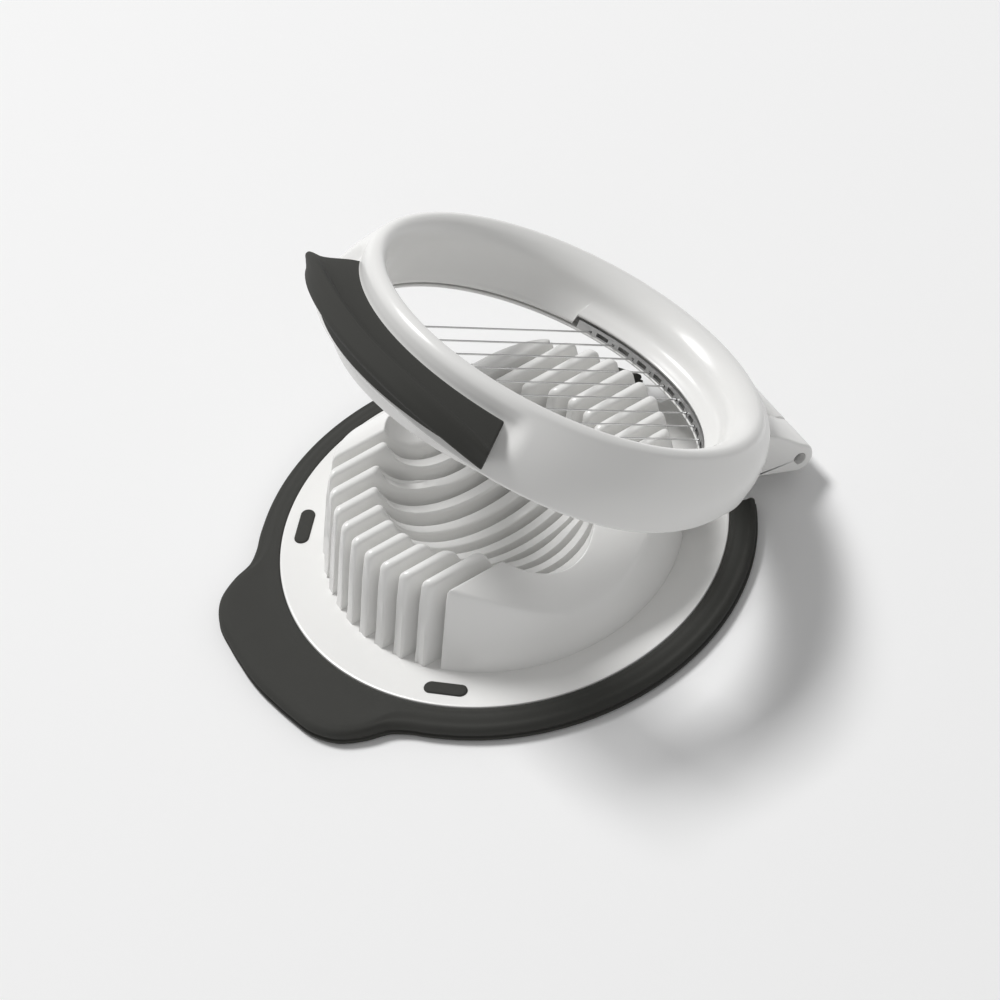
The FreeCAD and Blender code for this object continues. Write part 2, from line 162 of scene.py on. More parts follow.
def smooth_run(points, per_span):
    """A curve through every point along the first axis.

    Each span is a cubic. Its slope at a point is that of the parabola through the point and
    its two neighbours, measured along the chords between them.
    """
    points = np.asarray(points, float)
    lone = (-1,) + (1,) * (points.ndim - 1)
    chord = np.diff(points, axis=0)
    length = np.linalg.norm(chord, axis=-1).reshape(len(chord), -1).mean(1).reshape(lone)
    slope = chord / length
    inner = (length[1:] * slope[:-1] + length[:-1] * slope[1:]) / (length[1:] + length[:-1])
    slope = np.concatenate([slope[:1], inner, slope[-1:]])
    t = (np.arange(per_span) / per_span).reshape((1, -1) + (1,) * (points.ndim - 1))
    start, stop = points[:-1, None], points[1:, None]
    leave, arrive = (length * slope[:-1])[:, None], (length * slope[1:])[:, None]
    run = (start * (2 * t**3 - 3 * t**2 + 1) + leave * (t**3 - 2 * t**2 + t)
           + stop * (3 * t**2 - 2 * t**3) + arrive * (t**3 - t**2))
    return np.concatenate([run.reshape((-1,) + points.shape[1:]), points[-1:]])


def parabola(start, corner, stop, t):
    """The curve that leaves the start and reaches the stop, both times aimed at the corner."""
    start, corner, stop = np.asarray(start), np.asarray(corner), np.asarray(stop)
    return start * (1 - t)**2 + corner * 2 * t * (1 - t) + stop * t**2


def soft_corners(corners, reach, steps):
    """A closed outline whose corners are parabolas.

    Each parabola touches the two sides of its corner at the given reach from it, or at 0.45
    of the side where that is less. Corners run along the first axis.
    """
    corners = np.asarray(corners, float)
    lone = (-1,) + (1,) * (corners.ndim - 1)
    reach = np.broadcast_to(np.asarray(reach, float), len(corners)).reshape(lone)
    back = np.roll(corners, 1, axis=0) - corners
    ahead = np.roll(corners, -1, axis=0) - corners
    back_length = np.linalg.norm(back, axis=-1, keepdims=True)
    ahead_length = np.linalg.norm(ahead, axis=-1, keepdims=True)
    start = corners + back / back_length * np.minimum(reach, 0.45 * back_length)
    stop = corners + ahead / ahead_length * np.minimum(reach, 0.45 * ahead_length)
    t = np.linspace(0, 1, steps).reshape((1, -1) + (1,) * (corners.ndim - 1))
    run = parabola(start[:, None], corners[:, None], stop[:, None], t)
    return run.reshape((-1,) + corners.shape[1:])


def profile(points):
    """The points of a section, each a distance and a height that may be numbers or arrays."""
    shape = np.broadcast_shapes(*[np.shape(value) for point in points for value in point])
    return np.stack([np.stack([np.broadcast_to(value, shape) for value in point], -1) for point in points])


def place(x, y, z):
    """Points from three coordinates that may be numbers or arrays."""
    return np.stack(np.broadcast_arrays(x, y, z), -1).astype(float)


def ring_point(bearing, centre_y, radius, height):
    """Points on a circle about (0, centre_y), with bearing 0 at the front."""
    return place(radius * np.sin(bearing), centre_y - radius * np.cos(bearing), height)


def turned_open(points):
    """Points of the shut lid, turned about the hinge pin to where the lid rests."""
    y, z = points[..., 1] - HINGE_Y, points[..., 2] - HINGE_Z
    cosine, sine = math.cos(REST_OPEN), math.sin(REST_OPEN)
    return place(points[..., 0], HINGE_Y + y * cosine + z * sine, HINGE_Z - y * sine + z * cosine)


def sheet(grid, rows_close=False, cols_close=False, caps=False):
    """(points, faces) of a grid of points: a quad between neighbours, a flat face over each end."""
    rows, cols = grid.shape[:2]
    row, col = np.meshgrid(
        np.arange(rows if rows_close else rows - 1),
        np.arange(cols if cols_close else cols - 1),
        indexing="ij",
    )
    below, beside = (row + 1) % rows, (col + 1) % cols
    corners = [row * cols + col, below * cols + col, below * cols + beside, row * cols + beside]
    faces = np.stack(corners, -1).reshape(-1, 4).tolist()
    if caps:
        faces.append(list(range(cols)))
        faces.append(list(range(rows * cols - 1, (rows - 1) * cols - 1, -1)))
    return grid.reshape(-1, 3), faces


def piece(name, sheets, slot, body, stands_for):
    """One named piece made of closed sheets: welded, faces outward, smooth up to the crease angle."""
    crease = math.radians(38)
    weld = 0.002 * MM
    points, faces, count = [], [], 0
    for some_points, some_faces in sheets:
        points.append(some_points)
        faces += [[index + count for index in face] for face in some_faces]
        count += len(some_points)
    mesh = bpy.data.meshes.new(name)
    mesh.from_pydata((np.concatenate(points) * MM).tolist(), [], faces)
    work = bmesh.new()
    work.from_mesh(mesh)
    bmesh.ops.remove_doubles(work, verts=work.verts, dist=weld)
    bmesh.ops.recalc_face_normals(work, faces=work.faces)
    work.to_mesh(mesh)
    work.free()
    mesh.polygons.foreach_set("use_smooth", np.ones(len(mesh.polygons), bool))
    mesh.set_sharp_from_angle(angle=crease)
    mesh.materials.append(finish_of(slot))
    made = bpy.data.objects.new(name, mesh)
    bpy.context.scene.collection.objects.link(made)
    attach(made, body)
    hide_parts(stands_for)
    return made


def slab(outline, x_from, x_to, soft, hole=None):
    """A bar along X. Its (y, z) outline is pulled in round a quarter circle towards both ends.

    At angle a of the quarter circle the section is soft * (1 - sin a) inside the outline and
    soft * (1 - cos a) from the bar's end. The outline may change with x, and so may the
    softness along it. With a hole, both ends run in to a circle about the pin's axis.
    """
    steps = 5
    angle = np.linspace(0, math.pi / 2, steps)
    share = np.concatenate([1 - np.cos(angle), 1 - np.cos(angle[::-1])])
    inset = np.concatenate([1 - np.sin(angle), 1 - np.sin(angle[::-1])])
    side = np.repeat([1.0, -1.0], steps)
    end = np.repeat([x_from, x_to], steps)
    flat = np.stack([outline(x) for x in end + side * share * np.max(soft)])
    along = np.roll(flat, -1, axis=1) - np.roll(flat, 1, axis=1)
    along /= np.linalg.norm(along, axis=-1, keepdims=True)
    inward = np.stack([-along[..., 1], along[..., 0]], -1)
    soft = np.broadcast_to(soft, flat.shape[1])
    flat = flat + inward * (inset[:, None] * soft)[..., None]
    x = end[:, None] + side[:, None] * share[:, None] * soft
    grid = place(x, flat[..., 0], flat[..., 1])
    if hole is None:
        return sheet(grid, cols_close=True, caps=True)
    spoke = flat[0] - (HINGE_Y, HINGE_Z)
    spoke = spoke / np.linalg.norm(spoke, axis=-1, keepdims=True) * hole
    rims = [place(x_end, HINGE_Y + spoke[:, 0], HINGE_Z + spoke[:, 1]) for x_end in (x_from, x_to)]
    return sheet(np.concatenate([rims[0][None], grid, rims[1][None]]), rows_close=True, cols_close=True)


# ---- finishes -----------------------------------------------------------------------------

class Signal:
    """A value in a finish's node tree. Arithmetic on it adds a Math node for each step."""

    def __init__(self, finish, socket):
        self.finish = finish
        self.socket = socket

    def math(self, operation, first, second):
        settings = {"operation": operation}
        return self.finish.node("ShaderNodeMath", settings, {0: first, 1: second})

    def __add__(self, other):
        return self.math("ADD", self, other)

    def __radd__(self, other):
        return self.math("ADD", other, self)

    def __sub__(self, other):
        return self.math("SUBTRACT", self, other)

    def __rsub__(self, other):
        return self.math("SUBTRACT", other, self)

    def __mul__(self, other):
        return self.math("MULTIPLY", self, other)

    def __rmul__(self, other):
        return self.math("MULTIPLY", other, self)


class Finish:
    """One material, its Principled shader and the one method that adds a node to it."""

    def __init__(self, name, **constants):
        self.material = bpy.data.materials.new(name)
        self.material.use_nodes = True
        self.tree = self.material.node_tree
        self.shader = self.tree.nodes["Principled BSDF"]
        for socket, value in constants.items():
            self.shader.inputs[socket.replace("_", " ")].default_value = value

    def join(self, value, socket):
        if isinstance(value, Signal):
            self.tree.links.new(value.socket, socket)
        else:
            socket.default_value = value

    def node(self, kind, settings=None, inputs=None, output=0):
        made = self.tree.nodes.new(kind)
        for name, value in (settings or {}).items():
            setattr(made, name, value)
        for socket, value in (inputs or {}).items():
            self.join(value, made.inputs[socket])
        return Signal(self, made.outputs[output])

    def feed(self, socket, value):
        self.join(value, self.shader.inputs[socket])

    def place(self, stretch=(1, 1, 1)):
        """Object coordinates, drawn out along the axes whose stretch is small."""
        spot = self.node("ShaderNodeTexCoord", output="Object")
        return self.node("ShaderNodeMapping", inputs={"Vector": spot, "Scale": stretch})

    def noise(self, scale, detail=2.0, stretch=(1, 1, 1)):
        """Cloudy values about 0.5 whose blotches are 1 / scale metres across."""
        settings = {"noise_dimensions": "3D"}
        inputs = {"Vector": self.place(stretch), "Scale": scale, "Detail": detail}
        return self.node("ShaderNodeTexNoise", settings, inputs)

    def mix(self, share, first, second):
        """A colour part way between two."""
        settings = {"data_type": "RGBA"}
        inputs = {"Factor": share, 6: first, 7: second}
        return self.node("ShaderNodeMix", settings, inputs, output=2)

    def relief(self, height, depth, strength):
        """Bumps as deep as the given metres where the height goes from 0 to 1."""
        inputs = {"Height": height, "Distance": depth, "Strength": strength}
        self.feed("Normal", self.node("ShaderNodeBump", inputs=inputs))


def colour(shade, times=1.0):
    """A colour property as an opaque colour, made lighter or darker."""
    return tuple(min(channel * times, 1.0) for channel in shade) + (1.0,)


def glossy_plastic(shade):
    """Moulded white ABS: nearly even, with faint flow marks and a polished, slightly wavy skin."""
    finish = Finish("white_plastic", IOR=1.5)
    flow = finish.noise(38, 3.0)
    finish.feed("Base Color", finish.mix(flow, colour(shade, 0.975), colour(shade, 1.015)))
    polish = finish.noise(260, 4.0)
    finish.feed("Roughness", 0.15 + 0.1 * polish)
    finish.relief(finish.noise(420, 2.0), 0.00004, 0.35)
    return finish.material


def soft_rubber(shade):
    """Near-black rubber with a fine matt grain, greyer where hands and mould have polished it."""
    finish = Finish("soft_grip", IOR=1.45)
    cloud = finish.noise(70, 4.0)
    grain = finish.noise(3200, 2.0)
    finish.feed("Base Color", finish.mix(cloud, colour(shade, 0.8), colour(shade, 1.25)))
    finish.feed("Roughness", 0.42 + 0.14 * cloud + 0.1 * grain)
    finish.relief(grain, 0.00006, 0.5)
    return finish.material


def steel(name, shade, roughness, streak, depth):
    """Bright steel with streaks drawn out along the axes whose streak factor is small."""
    finish = Finish(name, Metallic=1.0)
    lines = finish.noise(1000, 3.0, streak)
    finish.feed("Base Color", finish.mix(lines, colour(shade, 0.82), colour(shade, 1.1)))
    finish.feed("Roughness", roughness + 0.16 * lines)
    finish.relief(lines, depth, 0.4)
    return finish.material


def floor_paint(shade):
    """A plain pale backdrop, even to the eye."""
    finish = Finish("floor_paint", Roughness=0.9)
    finish.feed("Base Color", finish.mix(finish.noise(3, 2.0), colour(shade, 0.99), colour(shade)))
    return finish.material


def finish_of(slot):
    """The material of one of the record's slots, made the first time that it is asked for."""
    found = bpy.data.materials.get(slot)
    if found:
        return found
    finishes = bpy.context.scene.egg_slicer_finishes
    makers = {
        "white_plastic": lambda: glossy_plastic(finishes.plastic),
        "soft_grip": lambda: soft_rubber(finishes.rubber),
        "wire_steel": lambda: steel("wire_steel", finishes.steel, 0.2, (1, 0.04, 1), 0.00001),
        "rail_steel": lambda: steel("rail_steel", finishes.rail, 0.16, (0.12, 0.12, 3), 0.00002),
        "pin_steel": lambda: steel("pin_steel", finishes.steel, 0.3, (3, 0.2, 0.2), 0.00002),
    }
    return makers[slot]()


def paint(nodes, slot):
    """Give CAD nodes that keep their own shape the finish of their slot."""
    for name in nodes:
        node = frame["nodes"][name]
        node.data.materials.clear()
        node.data.materials.append(finish_of(slot))


# ---- base ---------------------------------------------------------------------------------

def cone_share(z):
    """0 at the foot of the cup's cone and 1 at its top."""
    return (z - FLANGE_TOP) / (CUP_TOP - FLANGE_TOP)


def cone_reach(x, z, side):
    """The y of the cup's outside at its rear (side 1) or front (side -1), for a cone that leans back."""
    share = cone_share(z)
    radius = blend(CUP_FOOT_RADIUS, CUP_TOP_RADIUS, share)
    return CUP_TOP_CENTRE_Y * share + side * np.sqrt(radius**2 - x**2)


def cone_height(x, y):
    """The height of the leaning cone above a place.

    The share s of the height solves x^2 + (y - c s)^2 = (R - d s)^2, where c is the top
    centre's y, R the foot's radius and d the fall in radius.
    """
    fall = CUP_FOOT_RADIUS - CUP_TOP_RADIUS
    square = CUP_TOP_CENTRE_Y**2 - fall**2
    half = CUP_FOOT_RADIUS * fall - CUP_TOP_CENTRE_Y * y
    rest = x**2 + y**2 - CUP_FOOT_RADIUS**2
    share = (-half + np.sqrt(np.maximum(half**2 - square * rest, 0))) / square
    return blend(FLANGE_TOP, CUP_TOP, share)


def shoulder_height(x):
    """The cup's top: level in the middle, then a quarter circle down to both ends."""
    past = np.clip(np.abs(x) - CUP_FLAT_HALF, 0, CUP_SHOULDER)
    return CUP_TOP - CUP_SHOULDER + np.sqrt(CUP_SHOULDER**2 - past**2)


def hollow_height(x, y):
    """The egg hollow's floor: the lower of two ellipsoids, or the cup's top outside both."""
    bowl = np.clip(1 - (x**2 + y**2) / BOWL_RADIUS**2, 0, 1)
    trough = np.clip(1 - (x / TROUGH_HALF_LENGTH)**2 - (y / TROUGH_RADIUS)**2, 0, 1)
    return CUP_TOP - np.maximum(BOWL_DEPTH * np.sqrt(bowl), TROUGH_RADIUS * np.sqrt(trough))


def fin_outline(x):
    """One fin's (y, z) outline: up the cone, round on to the top, round into the hollow, and back."""
    top = shoulder_height(x)
    outer_soft, inner_soft = 1.5, 1.9
    edge = max(math.sqrt(max(BOWL_RADIUS**2 - x**2, 0)),
               TROUGH_RADIUS * math.sqrt(1 - (x / TROUGH_HALF_LENGTH)**2))
    across = edge * np.cos(np.linspace(0, math.pi / 2, 60))
    curve = np.stack([across, hollow_height(x, across)], -1)
    below = curve[curve[:, 1] < top - inner_soft]
    inner_share = np.linspace(0, 1, 7)[:-1, None]
    inner = parabola((edge + inner_soft, top), (edge, top), below[0], inner_share)
    steps = np.linspace(0, len(below) - 1, 22)
    hollow = np.stack([np.interp(steps, np.arange(len(below)), column) for column in below.T], -1)
    rise = np.linspace(CUP_SUNK, top - outer_soft, 5)
    outer_share = np.linspace(0, 1, 6)[1:, None]
    halves = []
    for side in (1, -1):
        wall = np.stack([side * cone_reach(x, rise, side), rise], -1)
        shoulder = wall[-1, 0] - 0.25 * outer_soft
        outer = parabola(wall[-1], (shoulder, top), (shoulder - outer_soft, top), outer_share)
        halves.append(np.concatenate([wall, outer, inner, hollow]) * (side, 1))
    return np.concatenate([halves[0], halves[1][-2::-1]])


def fin(x):
    """One fin of the cup, with a rounder edge along its top than down its sides."""
    side_soft, top_soft = 0.42, 1.05
    outline = fin_outline(x)
    soft = blend(side_soft, top_soft, soft_step(CUP_TOP - 4.5, CUP_TOP - 1.0, outline[:, 1]))
    half = (WIRE_PITCH - SLOT_WIDTH) / 2
    return slab(fin_outline, x - half, x + half, soft)


def softer_low(first, second, reach):
    """The lower of two heights, with the corner between them rounded over about the reach."""
    return -reach * np.logaddexp(-first / reach, -second / reach)


def cup_end(hand):
    """The solid end of the cup past the last slot.

    Its height at each bearing and radius is the lowest of the cone, the shoulder and the
    hollow, with soft corners, less a quarter circle along the slot.
    """
    cone_soft, hollow_soft, edge = 0.75, 0.3, 1.1
    slot_x = (WIRE_COUNT - 1) / 2 * WIRE_PITCH + SLOT_WIDTH / 2
    widest = math.acos(slot_x / CUP_FOOT_RADIUS) - 0.004
    bearing = np.linspace(-widest, widest, 131)[:, None]
    radius = blend(CUP_FOOT_RADIUS, slot_x / np.cos(bearing), np.linspace(0, 1, 121)[None])
    x, y = radius * np.cos(bearing), radius * np.sin(bearing)
    height = softer_low(cone_height(x, y), shoulder_height(x), cone_soft)
    height = softer_low(height, hollow_height(x, y) + 0.02 * (CUP_TOP - height), hollow_soft)
    short = np.clip(edge - (x - slot_x), 0, edge)
    height = np.maximum(height - (edge - np.sqrt(edge**2 - short**2)), CUP_SUNK)
    top = place(hand * x, y, height)
    low = np.linspace(0, 1, 5)[None, 1:, None]
    outer = place(hand * x[:, :1], y[:, :1], CUP_SUNK)
    inner = place(hand * x[:, -1:], y[:, -1:], CUP_SUNK)
    down = blend(top[:, -1:], inner, low)
    return sheet(np.concatenate([outer, top, down], 1), cols_close=True, caps=True)


def flange():
    """The round plate: a profile turned about the cup's axis, with its pole at both centres."""
    edge = 0.3
    outline = np.array([
        (0, FLANGE_TOP), (30, FLANGE_TOP), (FLANGE_RADIUS - 2, FLANGE_TOP),
        (FLANGE_RADIUS - 2 * edge, FLANGE_TOP), (FLANGE_RADIUS - edge, FLANGE_TOP),
        (FLANGE_RADIUS - 0.3 * edge, FLANGE_TOP - 0.3 * edge),
        (FLANGE_RADIUS, FLANGE_TOP - edge), (FLANGE_RADIUS, FLANGE_UNDER), (0, FLANGE_UNDER),
    ])
    bearing = np.linspace(0, 2 * math.pi, 240, endpoint=False)[:, None]
    return sheet(ring_point(bearing, 0, outline[None, :, 0], outline[None, :, 1]), rows_close=True)


def knuckle_arc(start_deg, stop_deg, count):
    """Points round the hinge barrel, with 0 degrees at its rear and 90 at its top."""
    angle = np.radians(np.linspace(start_deg, stop_deg, count))
    return np.stack([HINGE_Y + KNUCKLE_RADIUS * np.cos(angle),
                     HINGE_Z + KNUCKLE_RADIUS * np.sin(angle)], -1)


def tongue_outline(_):
    """The middle knuckle and its web."""
    web = np.array([(46.2, 2.7), (47.5, 1.35), (56, 2.2)])
    back = np.array([(58.6, 7.6), (56.5, 5.05), (46.2, 4.95)])
    return np.concatenate([web, knuckle_arc(-95, 140, 22), back])


def arm_outline(_):
    """A hinge arm's side: under the lid's rear edge, round the barrel and back over the top."""
    under = soft_corners([(48.0, 7.2), (49.9, 6.0), (50.6, 1.4), (53.2, 0.95)], 0.5, 3)[3:]
    over = np.array([(61.2, 10.55), (58.2, 11.35), (55.2, 12.0), (54.2, 12.2), (51, 12.28), (48.2, 12.3)])
    return np.concatenate([under, knuckle_arc(-88, 92, 20), over])


def base_rim_radius(bearing):
    """The soft rim's outside at each bearing: a circle, swelling into the tab at the front."""
    plan = [(40.5, -38.4), (36.9, -42.0), (33.2, -45.2), (30.4, -48.6), (28.7, -53.6), (25.4, -59.0),
            (20.6, -62.1), (13.0, -63.7), (4.0, -64.75)]
    right = smooth_run(plan, 10)
    run = np.concatenate([right, right[::-1] * (-1, 1)])
    radius = np.hypot(run[:, 0], run[:, 1])
    angle = np.arctan2(run[:, 0], -run[:, 1])
    order = np.argsort(angle)
    reach = np.interp(bearing, angle[order], radius[order])
    return np.where(np.abs(bearing) < angle.max(), reach, BASE_RIM_RADIUS)


def base_rim():
    """The soft ring and its tab.

    The section runs up the outside over a lower bead and a groove, over the soft top edge
    and down the flange. It is carried from one side of the rear gap to the other, and its
    ends are cut square across at the gap.
    """
    share = np.linspace(-1, 1, 401)[:, None]
    outside = base_rim_radius(share[:, 0] * RIM_HALF_TURN)
    tab = soft_step(0.0, 6.0, outside - BASE_RIM_RADIUS)
    top_edge = blend(4.05, 4.2, tab)
    skin = [
        (outside - 0.9, 0.0), (outside - 0.25, 0.3), (outside, 0.75), (outside - 0.05, 1.2),
        (outside - 0.45, 1.45), (outside - 0.5, 1.65), (outside - 0.2, 1.9), (outside - 0.1, 2.5),
        (outside - 0.35, 3.3), (outside - 0.95, 3.9), (outside - 1.8, top_edge),
        (outside - 2.8, blend(4.5, 4.4, tab)),
        (blend(outside - 4.2, 53.6, tab), blend(4.72, 4.5, tab)), (FLANGE_RADIUS + 0.75, 4.86),
        (FLANGE_RADIUS + 0.22, 4.78), (FLANGE_RADIUS + 0.02, 4.45),
    ]
    run = smooth_run(profile(skin), 4)
    inside = [(FLANGE_RADIUS + 0.02, 2.62), (BASE_RIM_INNER, 2.62), (BASE_RIM_INNER, 0.0 * outside)]
    section = np.moveaxis(np.concatenate([run, profile(inside)]), 0, 1)
    radius, height = section[..., 0], section[..., 1]
    half_turn = math.pi - np.arcsin(REAR_GAP_HALF / radius)
    stretch = np.sign(share) * np.abs(share)**12
    bearing = share * RIM_HALF_TURN + stretch * (half_turn - RIM_HALF_TURN)
    return sheet(ring_point(bearing, 0, radius, height), cols_close=True, caps=True)


def foot_pad(bearing):
    """One oval foot bent along the flange: a rounded outline pulled in and up to a low dome."""
    turn = np.linspace(0, 2 * math.pi, 48, endpoint=False)
    straight = FOOT_HALF_ANGLE * FOOT_ARC_RADIUS
    spine = np.sign(np.cos(turn)) * straight
    along = np.cos(turn) * FOOT_HALF_WIDTH
    across = np.sin(turn) * FOOT_HALF_WIDTH
    rows = [(1.0, 0.0), (1.0, FOOT_TOP - 0.35), (0.985, FOOT_TOP - 0.23), (0.93, FOOT_TOP - 0.12),
            (0.8, FOOT_TOP - 0.04), (0.5, FOOT_TOP), (0.0, FOOT_TOP)]
    scale, height = np.array(rows).T[..., None]
    angle = bearing + (spine + along * scale) / FOOT_ARC_RADIUS
    return sheet(ring_point(angle, 0, FOOT_ARC_RADIUS + across * scale, height), cols_close=True, caps=True)


# ---- lid ----------------------------------------------------------------------------------

def lower_edge_height(y):
    """The lid's lower edge: lowest at the sides, lifting in a big circle to front and rear."""
    sag = np.where(y < 0, FRONT_SAG_RADIUS, REAR_SAG_RADIUS)
    return LID_LOWEST + sag - np.sqrt(sag**2 - y**2)


def rim_height(bearing):
    """The lid's top, which slopes down a little from front to rear."""
    return RIM_HEIGHT + RIM_SLOPE * np.cos(bearing)


def dent(bearing, share):
    """How far the lid's outside is pressed in above the grip, stepping in near the grip's ends."""
    sideways = 1 - soft_step(*DENT_EDGE_DEG, np.degrees(np.abs(bearing)))
    upwards = soft_step(0.3, 0.6, share) * (1 - soft_step(0.75, 1.0, share))
    return DENT_DEPTH * sideways * upwards


def lid_wall(bearing, share, inset, rise=0.0):
    """The lid's outside, from its lower edge (share 0) to just below its rim (share 1).

    Centre and radius go evenly from the foot's circle to the rim's, with a sine swell
    between them, less the dent above the grip.
    """
    even = blend(LID_FOOT_RADIUS, RIM_RADIUS + SHOULDER_OUT, share)
    radius = even + WALL_SWELL * math.sin(math.pi * share) - inset - dent(bearing, share)
    flat = ring_point(bearing, blend(LID_FOOT_CENTRE_Y, RIM_CENTRE_Y, share), radius, 0)
    low = lower_edge_height(flat[..., 1])
    high = rim_height(bearing) - SHOULDER_DROP
    return place(flat[..., 0], flat[..., 1], blend(low, high, share) + rise)


def ring_bearings():
    """Bearings right round, with close pairs where the rail recesses start."""
    even = np.linspace(-math.pi, math.pi, 288, endpoint=False)
    ends = (RAIL_RECESS_HALF, math.pi - RAIL_RECESS_HALF)
    beside = 0.004
    steps = [side * angle + nudge for side in (-1, 1) for angle in ends for nudge in (-beside, beside)]
    return np.sort(np.concatenate([even, steps]))


def lid_ring():
    """The glossy ring: its section is a smooth skin, outside, rim and inside, and a hollow back."""
    bearing = ring_bearings()
    top = rim_height(bearing)
    from_end = np.minimum(np.abs(bearing), math.pi - np.abs(bearing))
    recess = 1 - soft_step(RAIL_RECESS_HALF - 0.003, RAIL_RECESS_HALF + 0.003, from_end)
    low = blend(INNER_WALL_LOW, RAIL_RECESS_TOP, recess)
    skin = smooth_run([
        lid_wall(bearing, 0, LID_WALL, 0.5),
        lid_wall(bearing, 0, 1.5, 0.05),
        lid_wall(bearing, 0, 0.6, 0.0),
        lid_wall(bearing, 0.02, 0.12, 0.1),
        lid_wall(bearing, 0.1, 0),
        lid_wall(bearing, 0.3, 0),
        lid_wall(bearing, 0.45, 0),
        lid_wall(bearing, 0.6, 0),
        lid_wall(bearing, 0.75, 0),
        lid_wall(bearing, 0.88, 0),
        lid_wall(bearing, 1.0, 0),
        ring_point(bearing, RIM_CENTRE_Y, RIM_RADIUS + 1.5, top - 0.65),
        ring_point(bearing, RIM_CENTRE_Y, RIM_RADIUS, top),
        ring_point(bearing, 4.6, RIM_RADIUS - 1.9, top - 0.7),
        ring_point(bearing, 3.8, RIM_RADIUS - 3.4, top - 2.6),
        ring_point(bearing, LID_FOOT_CENTRE_Y, 41.7, blend(INNER_WALL_LOW, top - 2.0, 0.5)),
        ring_point(bearing, 0.6, LID_OPENING_RADIUS + 0.1, blend(low, top, 0.12)),
        ring_point(bearing, 0, LID_OPENING_RADIUS, low + 0.4),
        ring_point(bearing, 0, LID_OPENING_RADIUS + 0.35, low),
    ], 5)
    roof = top - HOLLOW_DROP
    hollow = np.stack([
        ring_point(bearing, 0, LID_OPENING_RADIUS + LID_WALL, low),
        ring_point(bearing, 3.2, LID_OPENING_RADIUS + LID_WALL + 1.0, roof),
        ring_point(bearing, 4.4, RIM_RADIUS + 1.0 - dent(bearing, 0.75), roof),
        lid_wall(bearing, 0.35, LID_WALL),
    ])
    grid = turned_open(np.moveaxis(np.concatenate([skin, hollow]), 0, 1))
    return sheet(grid, rows_close=True, cols_close=True)


def lid_grip_sheet():
    """The soft grip: a dished top, a raised ridge, a bowed front and a hollow underneath.

    Each corner of the section moves outwards with the square of the bearing, and the ridge
    drops at the ends with its fourth power.
    """
    share = np.linspace(-1, 1, 97)
    swell, tip = share**2, share**4
    join = (blend(42.6, 44.4, swell), blend(20.4, 19.3, swell))
    ridge = (blend(50.0, 54.9, swell), blend(20.6, 16.4, tip))
    nose = (blend(53.0, 54.2, swell), blend(16.2, 11.6, swell))
    heel = (blend(50.5, 49.2, swell), blend(12.0, 10.6, swell))
    fall = 1 - 0.55 * tip

    def on_top(part, sink):
        return blend(join[0], ridge[0], part), blend(join[1], ridge[1], part) - sink * fall

    run = [
        (join[0] - 0.8, join[1] + 0.1), on_top(0.15, 0.15), on_top(0.4, 0.75), on_top(0.62, 1.3),
        on_top(0.78, 1.25), on_top(0.88, 0.6), on_top(0.96, 0.12),
        (ridge[0] + 0.35, ridge[1] - 0.1), (ridge[0] + 0.75, ridge[1] - 0.65),
        (blend(ridge[0], nose[0], 0.5) + 0.5, blend(ridge[1], nose[1], 0.5)),
        (nose[0] + 0.1, nose[1] + 0.8), (nose[0], nose[1] + 0.1), (nose[0] - 0.45, nose[1] - 0.5),
        (blend(nose[0], heel[0], 0.5) - 0.5, blend(nose[1], heel[1], 0.5) + 0.35),
        (heel[0] - 0.1, heel[1] + 0.1),
    ]
    back = [(heel[0] - 4.0, heel[1] + 1.2), (join[0] - 1.6, join[1] - 1.5)]
    section = np.moveaxis(np.concatenate([smooth_run(profile(run), 5), profile(back)]), 0, 1)
    bearing = share[:, None] * LID_GRIP_HALF
    grid = ring_point(bearing, 0, section[..., 0], section[..., 1])
    return sheet(turned_open(grid), cols_close=True, caps=True)


def wire_ring():
    """The ring that holds the wires: a lip, a channel floor and a body that shows at the rear."""
    bearing = ring_bearings()
    rear = soft_step(0.0, 0.6, -np.cos(bearing))
    gap = 0.3
    tuck = LID_WALL + gap
    edge = lid_wall(bearing, 0, tuck)
    crown = lid_wall(bearing, 0.15, tuck + 0.15)
    under = edge[..., 2]
    top = under + blend(2.6, -0.2, rear)
    step = lid_wall(bearing, 0, blend(tuck + 0.05, 0.4, rear))
    foot = lid_wall(bearing, 0, blend(tuck + 0.45, 0.7, rear))
    corners = [
        ring_point(bearing, 0, LID_OPENING_RADIUS, LIP_LOW),
        ring_point(bearing, 0, LID_OPENING_RADIUS, LIP_TOP),
        ring_point(bearing, 0, CHANNEL_RADIUS, LIP_TOP),
        ring_point(bearing, blend(0.8, 2.0, rear), CHANNEL_RADIUS + blend(1.9, 2.5, rear), top),
        place(crown[..., 0], crown[..., 1], top),
        place(edge[..., 0], edge[..., 1], under + blend(0.1, -0.5, rear)),
        place(step[..., 0], step[..., 1], under - blend(0.15, 0.65, rear)),
        place(foot[..., 0], foot[..., 1], blend(under - gap, LIP_LOW, rear)),
        ring_point(bearing, 0, FRAME_HEEL_RADIUS, LIP_LOW),
    ]
    grid = np.moveaxis(soft_corners(corners, 0.3, 4), 0, 1)
    return sheet(turned_open(grid), rows_close=True, cols_close=True)


def hinge_arm(hand):
    """One hinge arm of the lid, bored for the pin."""
    points, faces = slab(arm_outline, LID_KNUCKLE_INNER, LID_KNUCKLE_OUTER, 0.7, PIN_HOLE_RADIUS)
    return turned_open(points * (hand, 1, 1)), faces


# ---- settings -----------------------------------------------------------------------------

